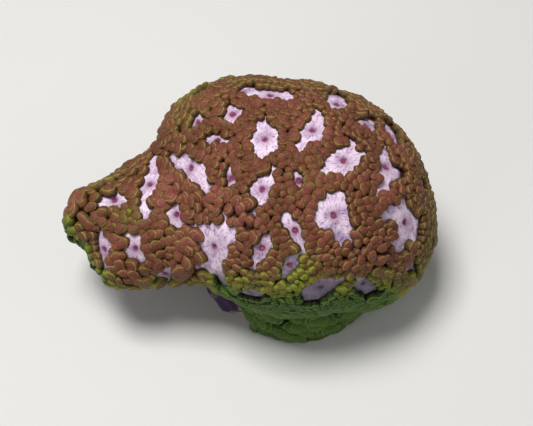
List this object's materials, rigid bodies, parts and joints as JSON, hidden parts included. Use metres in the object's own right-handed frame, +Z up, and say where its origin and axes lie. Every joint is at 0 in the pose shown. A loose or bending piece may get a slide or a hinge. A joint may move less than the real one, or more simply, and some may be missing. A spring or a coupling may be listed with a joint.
{
  "type": "brain coral",
  "caption": "Brain coral head with a side lobe, covered in fleshy lumps between sunken mouth discs, standing on its cut foot.",
  "frame": {"origin": "on the ground plane, under the middle of the head's box", "axes": "+Z up out of the cut foot, +X along the head's length away from the side lobe, -Y towards the side that the picture shows"},
  "size_m": [0.0662, 0.0434, 0.039],
  "materials": {
    "tissue": "wet living flesh over a stony skeleton: brown-red lumps with thin yellow-green rims, white-lilac discs, green and purple underside"
  },
  "bodies": {
    "root": {"coral_head": "tissue"}
  },
  "joints": []
}
